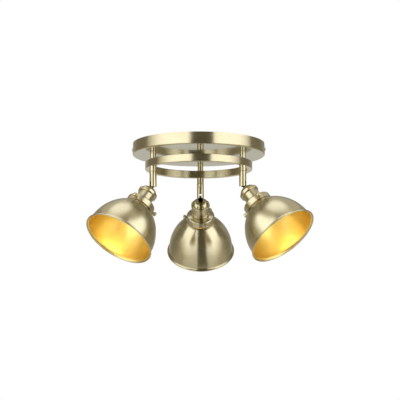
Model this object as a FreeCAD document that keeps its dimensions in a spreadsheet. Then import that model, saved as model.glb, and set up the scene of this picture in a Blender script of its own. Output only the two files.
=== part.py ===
import FreeCAD, Part
import math
import os
from types import SimpleNamespace

import Sketcher
from FreeCAD import Placement, Rotation, Vector

# A three-headed semi flush ceiling light. The ceiling is the plane Z = 0 and the light hangs
# below it. Lengths are in millimetres, angles in degrees.

driving = {
    # canopy pan
    "canopy_radius": 125.0,
    "canopy_draft": 0.8,
    "canopy_depth": 22.5,
    "canopy_wall": 1.2,
    "canopy_corner": 2.5,
    "side_screw_drop": 11.0,
    "side_screw_radius": 2.0,
    "side_head_radius": 4.0,
    "side_head_height": 2.4,
    "side_screw_grip": 7.0,
    # ceiling strap and what it carries
    "strap_width": 24.0,
    "strap_thickness": 2.0,
    "strap_tab": 17.0,
    "strap_bend": 2.0,
    "strap_gap": 1.0,
    "slot_length": 22.0,
    "slot_width": 5.5,
    "slot_spacing": 80.0,
    "cable_hole_radius": 8.0,
    "grommet_bore": 4.5,
    "grommet_lip": 1.6,
    "block_length": 30.0,
    "block_width": 16.0,
    "block_height": 13.0,
    "block_place": 76.0,
    "block_pitch": 10.0,
    "block_row": 4.0,
    "block_screw_radius": 1.9,
    "block_wire_radius": 2.2,
    "earth_place": 76.0,
    "earth_radius": 2.0,
    "earth_head_radius": 3.8,
    "earth_head_height": 2.6,
    # posts, hoop and hollow nipples
    "post_inset": 29.0,
    "post_radius": 5.5,
    "post_length": 13.7,
    "ring_thickness": 10.0,
    "ring_height": 14.0,
    "ring_edge": 0.8,
    "nipple_radius": 4.0,
    "nipple_bore": 2.6,
    "nipple_above": 2.0,
    "washer_radius": 8.0,
    "washer_thickness": 1.0,
    "nut_flats": 13.0,
    "nut_height": 4.0,
    "clamp_fit": 0.1,
    # swivels
    "sleeve_radius": 6.5,
    "sleeve_length": 10.3,
    "swivel_gap": 0.3,
    "swivel_fit": 0.05,
    "tube_radius": 6.6,
    "tube_length": 28.7,
    "tube_bore": 5.3,
    "bearing_length": 8.0,
    "clip_radius": 4.9,
    "clip_thickness": 0.8,
    "clip_gap": 0.1,
    "nipple_tail": 1.0,
    # knuckles
    "pin_radius": 1.5,
    "pin_to_end": 3.5,
    "pin_fit": 0.05,
    "pin_seat": 0.02,
    "tongue_thickness": 4.0,
    "tongue_radius": 3.6,
    "tongue_side_gap": 0.2,
    "tongue_width": 5.6,
    "slot_above_pin": 5.6,
    "shoulder_start": 7.8,
    "shoulder_radius": 4.4,
    "stud_radius": 3.0,
    "stud_length": 6.0,
    # head caps and necks, measured along the head from the knuckle pin
    "cap_start": 9.4,
    "cap_top_radius": 5.2,
    "cap_crown": 3.0,
    "cap_side": 2.4,
    "cap_dome_end": 18.2,
    "cap_dome_radius": 16.2,
    "cap_dome_curve": 14.0,
    "cap_step": 0.6,
    "cap_flange_radius": 18.2,
    "cap_flange_width": 6.6,
    "cap_edge": 1.2,
    "cap_lower_edge": 1.6,
    "neck_radius": 15.4,
    "neck_wall": 1.0,
    "neck_seat": 5.2,
    "neck_end": 43.8,
    "collar_radius": 17.0,
    "collar_width": 4.8,
    "collar_edge": 1.0,
    # galleries and thumb screws
    "gallery_clear": 2.0,
    "gallery_height": 13.5,
    "gallery_wall": 1.2,
    "gallery_edge": 2.4,
    "gallery_ledge": 0.6,
    "thumb_place": 8.1,
    "thumb_radius": 2.0,
    "thumb_head_radius": 4.0,
    "thumb_head_length": 5.3,
    "thumb_dome": 1.2,
    "thumb_collar": 2.4,
    "thumb_collar_radius": 2.8,
    # shades
    "fitter_radius": 24.0,
    "fitter_depth": 7.6,
    "shade_wall": 1.0,
    "shade_gap": 0.5,
    "shoulder_rise": 2.6,
    "shade_curve": 86.0,
    "mouth_radius": 63.0,
    "mouth_place": 129.0,
    "flare_radius": 4.0,
    "rim_bead_radius": 1.3,
    "rim_bead_out": 0.65,
    "rim_bead_past": 0.52,
    # lampholders and bulbs
    "holder_radius": 13.4,
    "holder_start": 20.2,
    "holder_end": 53.2,
    "holder_top": 3.0,
    "holder_flange_radius": 17.6,
    "holder_flange": 2.0,
    "thread_fit": 0.15,
    "shell_wall": 0.5,
    "shell_length": 24.0,
    "base_radius": 6.9,
    "base_length": 25.0,
    "contact_radius": 2.4,
    "contact_length": 1.8,
    "globe_radius": 20.0,
    "globe_centre": 70.5,
    "globe_neck": 9.0,
    "globe_shoulder": 12.0,
    "globe_wall": 1.0,
}

# Each arm: the side of the canopy it hangs from, how far its swivel is turned from there, how
# far its head is raised from hanging straight down, and how its thumb screws are turned.
arms = [
    {"name": "rear", "side": 90.0, "turn": 1.5, "raise": 44.7, "screws": 6.0},
    {"name": "left", "side": 210.0, "turn": 13.5, "raise": 37.1, "screws": 64.0},
    {"name": "right", "side": 330.0, "turn": -2.8, "raise": 40.3, "screws": 18.0},
]

thumb_screw_count = 3
side_screw_count = 2
flare_slant = 60.0
shoulder_slant = 8.0

# Both turn a piece's own Z down. The first keeps its X, and the second its Y.
upside_down = Rotation(Vector(1, 0, 0), 180)
tipped_over = Rotation(Vector(0, 1, 0), 180)
quarter_turn = Rotation(Vector(0, 0, 1), 90)


class Size:
    """A length together with the expression that gives it from the sheet."""

    def __init__(self, value, text):
        self.value = value
        self.text = text

    def combined(self, other, sign, result):
        text = other.text if isinstance(other, Size) else repr(float(other))
        return Size(result, "(" + self.text + " " + sign + " " + text + ")")

    def __add__(self, other):
        return self.combined(other, "+", self.value + number(other))

    def __sub__(self, other):
        return self.combined(other, "-", self.value - number(other))

    def __mul__(self, other):
        return self.combined(other, "*", self.value * number(other))

    def __truediv__(self, other):
        return self.combined(other, "/", self.value / number(other))

    def root(self):
        return Size(math.sqrt(self.value), "sqrt" + self.text)


def number(size):
    return size.value if isinstance(size, Size) else float(size)


def makeSheet(doc):
    sheet = doc.addObject("Spreadsheet::Sheet", "Sizes")
    for row, (name, value) in enumerate(driving.items(), start=1):
        sheet.set("A%d" % row, name)
        sheet.set("B%d" % row, str(value))
        sheet.setAlias("B%d" % row, name)
    doc.recompute()
    return SimpleNamespace(**{name: Size(value, "Sizes." + name) for name, value in driving.items()})


doc = FreeCAD.newDocument("CeilingLight")
s = makeSheet(doc)


# Sketches ------------------------------------------------------------------------------------

def makeSketch(body, plane):
    sketch = body.newObject("Sketcher::SketchObject", "Sketch")
    support = [feature for feature in body.Origin.OriginFeatures if feature.Role == plane]
    sketch.AttachmentSupport = [(support[0], "")]
    sketch.MapMode = "FlatFace"
    return sketch


def bind(sketch, kind, items, size):
    index = sketch.addConstraint(Sketcher.Constraint(kind, *items, number(size)))
    if isinstance(size, Size):
        sketch.setExpression("Constraints[%d]" % index, size.text)


def placePoint(sketch, item, across, along):
    for kind, axis, size in (("DistanceX", -2, across), ("DistanceY", -1, along)):
        if number(size) == 0.0 and not isinstance(size, Size):
            sketch.addConstraint(Sketcher.Constraint("PointOnObject", *item, axis))
        else:
            bind(sketch, kind, (-1, 1) + item, size)


def arcBetween(start, end, radius, bulge):
    """The arc of this radius from start to end, its middle to the left (1) or right (-1)."""
    chord = end - start
    middle = (start + end) * 0.5
    across = Vector(-chord.y, chord.x, 0).normalize()
    rise = math.sqrt(max(radius ** 2 - (chord.Length / 2) ** 2, 0.0))
    centre = middle - across * (rise * bulge)
    top = centre + across * (radius * bulge)
    return Part.Arc(start, top, end)


def drawOutline(sketch, corners):
    """A closed outline through corners (across, along). A corner with a radius and a bulge
    is reached from the one before it by an arc, the others by a straight line."""
    points = [Vector(number(corner[0]), number(corner[1]), 0) for corner in corners]
    ends = []
    for index, corner in enumerate(corners):
        start = points[index - 1]
        end = points[index]
        if len(corner) == 2:
            edge = sketch.addGeometry(Part.LineSegment(start, end))
            ends.append((edge, 1, 2))
            continue
        edge = sketch.addGeometry(arcBetween(start, end, number(corner[2]), corner[3]))
        forward = (sketch.getPoint(edge, 1) - start).Length < (sketch.getPoint(edge, 2) - start).Length
        ends.append((edge, 1, 2) if forward else (edge, 2, 1))
        bind(sketch, "Radius", (edge,), corner[2])
    for index, (edge, first, last) in enumerate(ends):
        following = ends[(index + 1) % len(ends)]
        sketch.addConstraint(Sketcher.Constraint("Coincident", edge, last, following[0], following[1]))
        placePoint(sketch, (edge, last), corners[index][0], corners[index][1])


def drawCircle(sketch, across, along, radius):
    circle = Part.Circle(Vector(number(across), number(along), 0), Vector(0, 0, 1), number(radius))
    edge = sketch.addGeometry(circle)
    bind(sketch, "Radius", (edge,), radius)
    placePoint(sketch, (edge, 3), across, along)


def drawBox(sketch, left, right, low, high):
    drawOutline(sketch, [(left, low), (right, low), (right, high), (left, high)])


# Features ------------------------------------------------------------------------------------

def makeBody(name):
    body = doc.addObject("PartDesign::Body", name)
    body.Label = name
    return body


def turn(body, corners):
    """A turned shape: across is the radius and along is the distance on the body's Z axis."""
    sketch = makeSketch(body, "XZ_Plane")
    drawOutline(sketch, corners)
    feature = body.newObject("PartDesign::Revolution", "Turned")
    feature.Profile = sketch
    feature.ReferenceAxis = (sketch, ["V_Axis"])
    feature.Angle = 360
    return feature


def turnRound(body, across, along, radius):
    sketch = makeSketch(body, "XZ_Plane")
    drawCircle(sketch, across, along, radius)
    feature = body.newObject("PartDesign::Revolution", "Bead")
    feature.Profile = sketch
    feature.ReferenceAxis = (sketch, ["V_Axis"])
    feature.Angle = 360
    return feature


def pad(body, sketch, length, both=False):
    feature = body.newObject("PartDesign::Pad", "Pad")
    feature.Profile = sketch
    feature.SideType = "Symmetric" if both else "One side"
    feature.Length = number(length)
    feature.setExpression("Length", length.text)
    return feature


def cutThrough(body, sketch):
    feature = body.newObject("PartDesign::Pocket", "Cut")
    feature.Profile = sketch
    feature.SideType = "Symmetric"
    feature.Type = "ThroughAll"
    return feature


def repeatAround(body, feature, count):
    doc.recompute()
    pattern = body.newObject("PartDesign::PolarPattern", "Around")
    pattern.Originals = [feature]
    axes = [axis for axis in body.Origin.OriginFeatures if axis.Role == "Z_Axis"]
    pattern.Axis = (axes[0], [""])
    pattern.Angle = 360
    pattern.Occurrences = count
    body.Tip = pattern
    return pattern


def cutHolesAround(body, across, along, radius, count):
    sketch = makeSketch(body, "XY_Plane")
    drawCircle(sketch, across, along, radius)
    return repeatAround(body, cutThrough(body, sketch), count)


def put(body, across, along, up, rotation):
    """Places a body, with the position bound to the sheet."""
    body.Placement = Placement(Vector(number(across), number(along), number(up)), rotation)
    for axis, size in (("x", across), ("y", along), ("z", up)):
        if isinstance(size, Size):
            body.setExpression("Placement.Base." + axis, size.text)


def drop(size):
    return size * -1.0


# Heights and places that several pieces share -------------------------------------------------

arm_count = len(arms)
post_circle = s.canopy_radius - s.post_inset
ring_top = s.canopy_depth + s.post_length
sleeve_top = ring_top + s.ring_height
tube_top = sleeve_top + s.sleeve_length + s.swivel_gap
tube_end = tube_top + s.tube_length
pin_drop = tube_end - s.pin_to_end
bearing_end = tube_top + s.bearing_length
clip_top = bearing_end + s.clip_gap
nipple_end = clip_top + s.clip_thickness + s.nipple_tail
pan_floor = s.canopy_depth - s.canopy_wall
washer_top = pan_floor - s.washer_thickness
nut_top = washer_top - s.nut_height
nipple_top = nut_top - s.nipple_above
nipple_hole = s.nipple_radius + s.clamp_fit
gallery_inner = s.fitter_radius + s.gallery_clear
gallery_outer = gallery_inner + s.gallery_wall
gallery_top = s.neck_end
gallery_end = gallery_top + s.gallery_height
fitter_end = gallery_end + s.shade_gap
thumb_axis = gallery_top + s.thumb_place
shell_inner = s.base_radius + s.thread_fit
shell_outer = shell_inner + s.shell_wall


def armPlace(arm):
    angle = math.radians(arm["side"])
    return post_circle * math.cos(angle), post_circle * math.sin(angle)


def hang(body, arm, depth):
    """Hangs a piece on an arm's upright axis, its own Z pointing down from this depth."""
    across, along = armPlace(arm)
    put(body, across, along, drop(depth), upside_down)


def swivelRotation(arm):
    return Rotation(Vector(0, 0, 1), arm["side"] + arm["turn"])


def headRotation(arm):
    """A head's own Z runs from the knuckle to the mouth, its X along the knuckle pin."""
    hanging = Rotation(Vector(1, 1, 0), 180)
    raised = Rotation(Vector(0, -1, 0), arm["raise"])
    return swivelRotation(arm).multiply(raised).multiply(hanging)


def screwTurn(arm):
    return Rotation(Vector(0, 0, 1), arm["screws"])


def mount(body, arm, spin=Rotation()):
    """Sets a piece on a head, turned about the head's own axis by spin."""
    across, along = armPlace(arm)
    put(body, across, along, drop(pin_drop), headRotation(arm).multiply(spin))


# Canopy ---------------------------------------------------------------------------------------

def makeCanopyPan():
    body = makeBody("canopy_pan")
    outer_top = s.canopy_radius - s.canopy_draft
    corner_start = s.canopy_depth - s.canopy_corner
    inner_corner = s.canopy_corner - s.canopy_wall
    turn(body, [
        (0, pan_floor),
        (0, s.canopy_depth),
        (s.canopy_radius - s.canopy_corner, s.canopy_depth),
        (s.canopy_radius, corner_start, s.canopy_corner, -1),
        (outer_top, 0),
        (outer_top - s.canopy_wall, 0),
        (s.canopy_radius - s.canopy_wall, corner_start),
        (s.canopy_radius - s.canopy_corner, pan_floor, inner_corner, 1),
    ])
    cutHolesAround(body, 0, post_circle, nipple_hole, arm_count)
    side = makeSketch(body, "YZ_Plane")
    drawCircle(side, 0, s.side_screw_drop, s.side_screw_radius + s.clamp_fit)
    cutThrough(body, side)
    put(body, 0, 0, 0, tipped_over)


def panWallAt(depth):
    """The outside radius of the drafted wall at a depth."""
    return s.canopy_radius - s.canopy_draft + s.canopy_draft * (depth / (s.canopy_depth - s.canopy_corner))


def makeSideScrews():
    body = makeBody("canopy_side_screws")
    seat = panWallAt(s.side_screw_drop + s.side_head_radius) + s.clamp_fit
    screw_end = seat + s.side_head_height
    sketch = makeSketch(body, "XY_Plane")
    radius = s.side_head_radius
    height = s.side_head_height
    curve = (radius * radius + height * height) / (height * 2.0)
    drawOutline(sketch, [
        (seat - s.side_screw_grip, 0),
        (seat - s.side_screw_grip, s.side_screw_radius),
        (seat, s.side_screw_radius),
        (seat, radius),
        (screw_end, 0, curve, 1),
    ])
    screw = body.newObject("PartDesign::Revolution", "Screw")
    screw.Profile = sketch
    screw.ReferenceAxis = (sketch, ["H_Axis"])
    screw.Angle = 360
    repeatAround(body, screw, side_screw_count)
    put(body, 0, 0, drop(s.side_screw_drop), Rotation())


# Ceiling strap --------------------------------------------------------------------------------

strap_reach = s.canopy_radius - s.canopy_draft - s.canopy_wall - s.strap_gap


def makeStrap():
    body = makeBody("ceiling_strap")
    profile = makeSketch(body, "XZ_Plane")
    outer = strap_reach
    inner = outer - s.strap_thickness
    outer_bend = s.strap_bend + s.strap_thickness
    drawOutline(profile, [
        (drop(outer), s.strap_tab),
        (drop(outer), outer_bend),
        (drop(outer - outer_bend), 0, outer_bend, 1),
        (outer - outer_bend, 0),
        (outer, outer_bend, outer_bend, 1),
        (outer, s.strap_tab),
        (inner, s.strap_tab),
        (inner, outer_bend),
        (outer - outer_bend, s.strap_thickness, s.strap_bend, -1),
        (drop(outer - outer_bend), s.strap_thickness),
        (drop(inner), outer_bend, s.strap_bend, -1),
        (drop(inner), s.strap_tab),
    ])
    pad(body, profile, s.strap_width, both=True)
    holes = makeSketch(body, "XY_Plane")
    drawCircle(holes, 0, 0, s.cable_hole_radius)
    drawCircle(holes, drop(s.earth_place), 0, s.earth_radius + s.clamp_fit)
    half_slot = s.slot_width * 0.5
    half_run = (s.slot_length - s.slot_width) * 0.5
    for side in (-0.5, 0.5):
        middle = s.slot_spacing * side
        drawSlot(holes, middle - half_run, middle + half_run, drop(half_slot), half_slot)
    cutThrough(body, holes)
    taps = makeSketch(body, "YZ_Plane")
    drawCircle(taps, 0, s.side_screw_drop, s.side_screw_radius + s.clamp_fit)
    cutThrough(body, taps)
    put(body, 0, 0, 0, upside_down)


def drawSlot(sketch, left, right, low, high):
    """A slot along X with round ends: two runs, each end turned in two quarter arcs."""
    drawOutline(sketch, [
        (right, low),
        (right + high, 0, high, -1),
        (right, high, high, -1),
        (left, high),
        (left - high, 0, high, -1),
        (left, low, high, -1),
    ])


def makeGrommet():
    body = makeBody("cable_grommet")
    groove = s.cable_hole_radius - s.clamp_fit
    lip = s.cable_hole_radius + s.grommet_lip
    under = s.strap_thickness + s.clamp_fit
    turn(body, [
        (s.grommet_bore, s.clamp_fit),
        (groove, s.clamp_fit),
        (groove, under),
        (lip, under),
        (lip, under + s.grommet_lip),
        (s.grommet_bore, under + s.grommet_lip),
    ])
    put(body, 0, 0, 0, upside_down)


poles = (-1, 0, 1)
block_rows = (-1, 1)


def makeTerminalBlock():
    body = makeBody("terminal_block")
    half_length = s.block_length * 0.5
    half_width = s.block_width * 0.5
    outline = makeSketch(body, "XY_Plane")
    drawBox(outline, drop(half_length), half_length, drop(half_width), half_width)
    pad(body, outline, s.block_height)
    wires = makeSketch(body, "XZ_Plane")
    for pole in poles:
        drawCircle(wires, s.block_pitch * pole, s.block_height * 0.5, s.block_wire_radius)
    cutThrough(body, wires)
    wells = makeSketch(body, "XY_Plane")
    for pole in poles:
        for row in block_rows:
            drawCircle(wells, s.block_pitch * pole, s.block_row * row, s.block_screw_radius + s.clamp_fit)
    cutThrough(body, wells)
    put(body, s.block_place, 0, drop(s.strap_thickness), upside_down)


def makeTerminalScrews():
    body = makeBody("terminal_screws")
    sketch = makeSketch(body, "XY_Plane")
    for pole in poles:
        for row in block_rows:
            drawCircle(sketch, s.block_pitch * pole, s.block_row * row, s.block_screw_radius)
    length = (s.block_height * 0.5) - s.block_wire_radius
    pad(body, sketch, length)
    put(body, s.block_place, 0, drop(s.strap_thickness + s.block_height), Rotation())


def makeEarthScrew():
    body = makeBody("earth_screw")
    under = s.strap_thickness
    turn(body, [
        (0, s.clamp_fit),
        (s.earth_radius, s.clamp_fit),
        (s.earth_radius, under),
        (s.earth_head_radius, under),
        (s.earth_head_radius, under + s.earth_head_height),
        (0, under + s.earth_head_height),
    ])
    put(body, drop(s.earth_place), 0, 0, upside_down)


# Posts, hoop and nipples ----------------------------------------------------------------------

def makeTubePiece(name, outer, inner, length):
    body = makeBody(name)
    sketch = makeSketch(body, "XY_Plane")
    drawCircle(sketch, 0, 0, outer)
    drawCircle(sketch, 0, 0, inner)
    pad(body, sketch, length)
    return body


def makePost(arm):
    body = makeTubePiece("post_" + arm["name"], s.post_radius, nipple_hole, s.post_length)
    hang(body, arm, s.canopy_depth)


def makeHoop():
    body = makeBody("hoop_ring")
    inner = post_circle - s.ring_thickness * 0.5
    outer = post_circle + s.ring_thickness * 0.5
    edge = s.ring_edge
    height = s.ring_height
    turn(body, [
        (inner + edge, 0, edge, -1),
        (outer - edge, 0),
        (outer, edge, edge, -1),
        (outer, height - edge),
        (outer - edge, height, edge, -1),
        (inner + edge, height),
        (inner, height - edge, edge, -1),
        (inner, edge),
    ])
    cutHolesAround(body, 0, post_circle, nipple_hole, arm_count)
    put(body, 0, 0, drop(ring_top), tipped_over)


def makeNipple(arm):
    length = nipple_end - nipple_top
    body = makeTubePiece("nipple_" + arm["name"], s.nipple_radius, s.nipple_bore, length)
    hang(body, arm, nipple_top)


def makeWashers():
    body = makeBody("nipple_washers")
    sketch = makeSketch(body, "XY_Plane")
    drawCircle(sketch, 0, post_circle, s.washer_radius)
    drawCircle(sketch, 0, post_circle, nipple_hole)
    repeatAround(body, pad(body, sketch, s.washer_thickness), arm_count)
    put(body, 0, 0, drop(washer_top), tipped_over)


def makeNuts():
    body = makeBody("nipple_nuts")
    sketch = makeSketch(body, "XY_Plane")
    corner = s.nut_flats / math.sqrt(3.0)
    half = s.nut_flats * 0.5
    corners = []
    for step in range(6):
        angle = math.radians(60 * step)
        corners.append((corner * math.cos(angle), post_circle + corner * math.sin(angle)))
    drawOutline(sketch, corners)
    drawCircle(sketch, 0, post_circle, nipple_hole)
    repeatAround(body, pad(body, sketch, s.nut_height), arm_count)
    put(body, 0, 0, drop(nut_top), tipped_over)


# Swivels --------------------------------------------------------------------------------------

def makeSleeve(arm):
    body = makeTubePiece("swivel_sleeve_" + arm["name"], s.sleeve_radius, nipple_hole, s.sleeve_length)
    hang(body, arm, sleeve_top)


def makeClips():
    body = makeBody("swivel_clips")
    sketch = makeSketch(body, "XY_Plane")
    drawCircle(sketch, 0, post_circle, s.clip_radius)
    drawCircle(sketch, 0, post_circle, s.nipple_radius)
    repeatAround(body, pad(body, sketch, s.clip_thickness), arm_count)
    put(body, 0, 0, drop(clip_top), tipped_over)


def makeForkTube(arm):
    body = makeBody("fork_tube_" + arm["name"])
    turn(body, [
        (s.nipple_radius + s.swivel_fit, 0),
        (s.tube_radius, 0),
        (s.tube_radius, s.tube_length),
        (s.tube_bore, s.tube_length),
        (s.tube_bore, s.bearing_length),
        (s.nipple_radius + s.swivel_fit, s.bearing_length),
    ])
    slot = makeSketch(body, "XZ_Plane")
    half = s.tongue_thickness * 0.5 + s.tongue_side_gap
    pin_place = s.tube_length - s.pin_to_end
    drawBox(slot, drop(half), half, pin_place - s.slot_above_pin, s.tube_length + s.clamp_fit)
    cutThrough(body, slot)
    bore = makeSketch(body, "YZ_Plane")
    drawCircle(bore, 0, pin_place, s.pin_radius + s.pin_seat)
    cutThrough(body, bore)
    across, along = armPlace(arm)
    rotation = swivelRotation(arm).multiply(quarter_turn).multiply(upside_down)
    put(body, across, along, drop(tube_top), rotation)


def makePin(arm):
    body = makeBody("knuckle_pin_" + arm["name"])
    sketch = makeSketch(body, "YZ_Plane")
    drawCircle(sketch, 0, 0, s.pin_radius)
    pad(body, sketch, (s.tube_radius - s.clamp_fit) * 2.0, both=True)
    mount(body, arm)


# Heads ----------------------------------------------------------------------------------------

def makeTongue(arm):
    body = makeBody("knuckle_tongue_" + arm["name"])
    side = makeSketch(body, "YZ_Plane")
    half = s.tongue_width * 0.5
    radius = s.tongue_radius
    rise = (radius * radius - half * half).root()
    drawOutline(side, [
        (half, rise),
        (0, drop(radius), radius, -1),
        (drop(half), rise, radius, -1),
        (drop(half), s.shoulder_start),
        (half, s.shoulder_start),
    ])
    pad(body, side, s.tongue_thickness, both=True)
    turn(body, [
        (0, s.shoulder_start - s.clamp_fit),
        (s.shoulder_radius, s.shoulder_start - s.clamp_fit),
        (s.shoulder_radius, s.cap_start),
        (s.stud_radius, s.cap_start),
        (s.stud_radius, s.cap_start + s.stud_length),
        (0, s.cap_start + s.stud_length),
    ])
    bore = makeSketch(body, "YZ_Plane")
    drawCircle(bore, 0, 0, s.pin_radius + s.pin_fit)
    cutThrough(body, bore)
    mount(body, arm)


def makeCap(arm):
    body = makeBody("head_cap_" + arm["name"])
    flange_start = s.cap_dome_end + s.cap_step
    flange_end = flange_start + s.cap_flange_width
    edge = s.cap_edge
    seat = s.neck_radius + s.clamp_fit
    seat_top = flange_end - s.neck_seat
    turn(body, [
        (s.stud_radius + s.clamp_fit, s.cap_start),
        (s.cap_top_radius, s.cap_start),
        (s.cap_dome_radius, s.cap_dome_end, s.cap_dome_curve, -1),
        (s.cap_dome_radius, flange_start),
        (s.cap_flange_radius - edge, flange_start),
        (s.cap_flange_radius, flange_start + edge, edge, -1),
        (s.cap_flange_radius, flange_end - s.cap_lower_edge),
        (s.cap_flange_radius - s.cap_lower_edge, flange_end, s.cap_lower_edge, -1),
        (seat, flange_end),
        (seat, seat_top),
        (s.cap_dome_radius - s.cap_side, seat_top),
        (s.cap_top_radius, s.cap_start + s.cap_crown, s.cap_dome_curve, 1),
        (s.stud_radius + s.clamp_fit, s.cap_start + s.cap_crown),
    ])
    mount(body, arm)


def makeNeck(arm):
    body = makeBody("lamp_neck_" + arm["name"])
    start = s.cap_dome_end + s.cap_step + s.cap_flange_width - s.neck_seat + s.clamp_fit
    collar_start = s.neck_end - s.collar_width
    edge = s.collar_edge
    turn(body, [
        (s.neck_radius - s.neck_wall, start),
        (s.neck_radius, start),
        (s.neck_radius, collar_start),
        (s.collar_radius - edge, collar_start),
        (s.collar_radius, collar_start + edge, edge, -1),
        (s.collar_radius, s.neck_end - edge),
        (s.collar_radius - edge, s.neck_end, edge, -1),
        (s.neck_radius - s.neck_wall, s.neck_end),
    ])
    mount(body, arm)


def makeGallery(arm):
    body = makeBody("shade_gallery_" + arm["name"])
    wall = s.gallery_wall
    edge = s.gallery_edge
    inner_edge = edge - wall
    hole = s.holder_radius + s.clamp_fit
    flat = s.holder_flange_radius + s.gallery_ledge
    slant = math.radians(shoulder_slant)
    across_share = math.sin(slant)
    along_share = math.cos(slant)
    bend = gallery_outer - edge
    cone_end = bend + edge * across_share
    bend_along = gallery_top + edge * along_share + (cone_end - flat) * math.tan(slant)
    turn(body, [
        (hole, gallery_top),
        (flat, gallery_top),
        (cone_end, bend_along - edge * along_share),
        (gallery_outer, bend_along, edge, -1),
        (gallery_outer, gallery_end),
        (gallery_inner, gallery_end),
        (gallery_inner, bend_along),
        (bend + inner_edge * across_share, bend_along - inner_edge * along_share, inner_edge, 1),
        (flat - wall * math.tan(slant * 0.5), gallery_top + wall),
        (hole, gallery_top + wall),
    ])
    taps = makeSketch(body, "XZ_Plane")
    drawCircle(taps, 0, thumb_axis, s.thumb_radius + s.clamp_fit)
    tap = body.newObject("PartDesign::Pocket", "Tap")
    tap.Profile = taps
    tap.Type = "Length"
    tap.Reversed = True
    tap.Length = number(gallery_outer)
    tap.setExpression("Length", (gallery_outer + s.clamp_fit).text)
    repeatAround(body, tap, thumb_screw_count)
    mount(body, arm, screwTurn(arm).multiply(quarter_turn))


def makeThumbScrews(arm):
    body = makeBody("thumb_screws_" + arm["name"])
    sketch = makeSketch(body, "XZ_Plane")
    tip = s.fitter_radius + s.clamp_fit
    seat = gallery_outer + s.clamp_fit
    head = seat + s.thumb_collar
    head_end = head + s.thumb_head_length
    radius = s.thumb_head_radius
    dome = s.thumb_dome
    curve = (radius * radius + dome * dome) / (dome * 2.0)
    drawOutline(sketch, [
        (tip, thumb_axis),
        (tip, thumb_axis + s.thumb_radius),
        (seat, thumb_axis + s.thumb_radius),
        (seat, thumb_axis + s.thumb_collar_radius),
        (head, thumb_axis + s.thumb_collar_radius),
        (head, thumb_axis + radius),
        (head_end - dome, thumb_axis + radius),
        (head_end, thumb_axis, curve, 1),
    ])
    screw = body.newObject("PartDesign::Revolution", "Screw")
    screw.Profile = sketch
    line = sketch.addGeometry(Part.LineSegment(
        Vector(0, number(thumb_axis), 0), Vector(number(seat), number(thumb_axis), 0)))
    sketch.toggleConstruction(line)
    placePoint(sketch, (line, 1), 0, thumb_axis)
    placePoint(sketch, (line, 2), seat, thumb_axis)
    screw.ReferenceAxis = (sketch, ["Axis0"])
    screw.Angle = 360
    repeatAround(body, screw, thumb_screw_count)
    mount(body, arm, screwTurn(arm))


def curveAt(place, radius):
    """The shade's bell curve is an arc whose centre is level with the mouth."""
    away = s.mouth_place - place
    return s.mouth_radius - s.shade_curve + (radius * radius - away * away).root()


def makeShade(arm):
    body = makeBody("shade_" + arm["name"])
    wall = s.shade_wall
    bell_start = fitter_end + s.shoulder_rise
    inner_curve = s.shade_curve - wall
    flare_in = s.flare_radius + wall
    across_share = math.cos(math.radians(flare_slant))
    along_share = math.sin(math.radians(flare_slant))
    flare_across = s.mouth_radius + s.flare_radius
    turn(body, [
        (s.fitter_radius - wall, gallery_end - s.fitter_depth),
        (s.fitter_radius, gallery_end - s.fitter_depth),
        (s.fitter_radius, fitter_end),
        (curveAt(bell_start, s.shade_curve), bell_start),
        (s.mouth_radius, s.mouth_place, s.shade_curve, -1),
        (flare_across - s.flare_radius * across_share,
         s.mouth_place + s.flare_radius * along_share, s.flare_radius, 1),
        (flare_across - flare_in * across_share,
         s.mouth_place + flare_in * along_share),
        (s.mouth_radius - wall, s.mouth_place, flare_in, -1),
        (curveAt(bell_start + wall, inner_curve), bell_start + wall, inner_curve, 1),
        (s.fitter_radius - wall, fitter_end + wall),
    ])
    bead_across = flare_across - (s.flare_radius + wall * 0.5) * across_share
    bead_along = s.mouth_place + (s.flare_radius + wall * 0.5) * along_share
    turnRound(body, bead_across + s.rim_bead_out, bead_along + s.rim_bead_past, s.rim_bead_radius)
    mount(body, arm)


def makeHolder(arm):
    body = makeBody("lampholder_" + arm["name"])
    cavity = shell_outer + s.clamp_fit
    flange_top = gallery_top + s.gallery_wall
    turn(body, [
        (0, s.holder_start),
        (s.holder_radius, s.holder_start),
        (s.holder_radius, flange_top),
        (s.holder_flange_radius, flange_top),
        (s.holder_flange_radius, flange_top + s.holder_flange),
        (s.holder_radius, flange_top + s.holder_flange),
        (s.holder_radius, s.holder_end),
        (cavity, s.holder_end),
        (cavity, s.holder_start + s.holder_top),
        (0, s.holder_start + s.holder_top),
    ])
    mount(body, arm)


def makeShell(arm):
    body = makeBody("socket_shell_" + arm["name"])
    shell_start = s.holder_start + s.holder_top
    turn(body, [
        (shell_inner, shell_start),
        (shell_outer, shell_start),
        (shell_outer, shell_start + s.shell_length),
        (shell_inner, shell_start + s.shell_length),
    ])
    mount(body, arm)


def makeBulbBase(arm):
    body = makeBody("bulb_base_" + arm["name"])
    base_end = s.holder_end + s.clamp_fit
    base_start = base_end - s.base_length
    turn(body, [
        (0, base_start - s.contact_length),
        (s.contact_radius, base_start - s.contact_length),
        (s.base_radius, base_start),
        (s.base_radius, base_end),
        (0, base_end),
    ])
    mount(body, arm)


def riseAt(across, radius):
    """How far along its axis a sphere is from its middle, at this distance across."""
    return (radius * radius - across * across).root()


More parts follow.
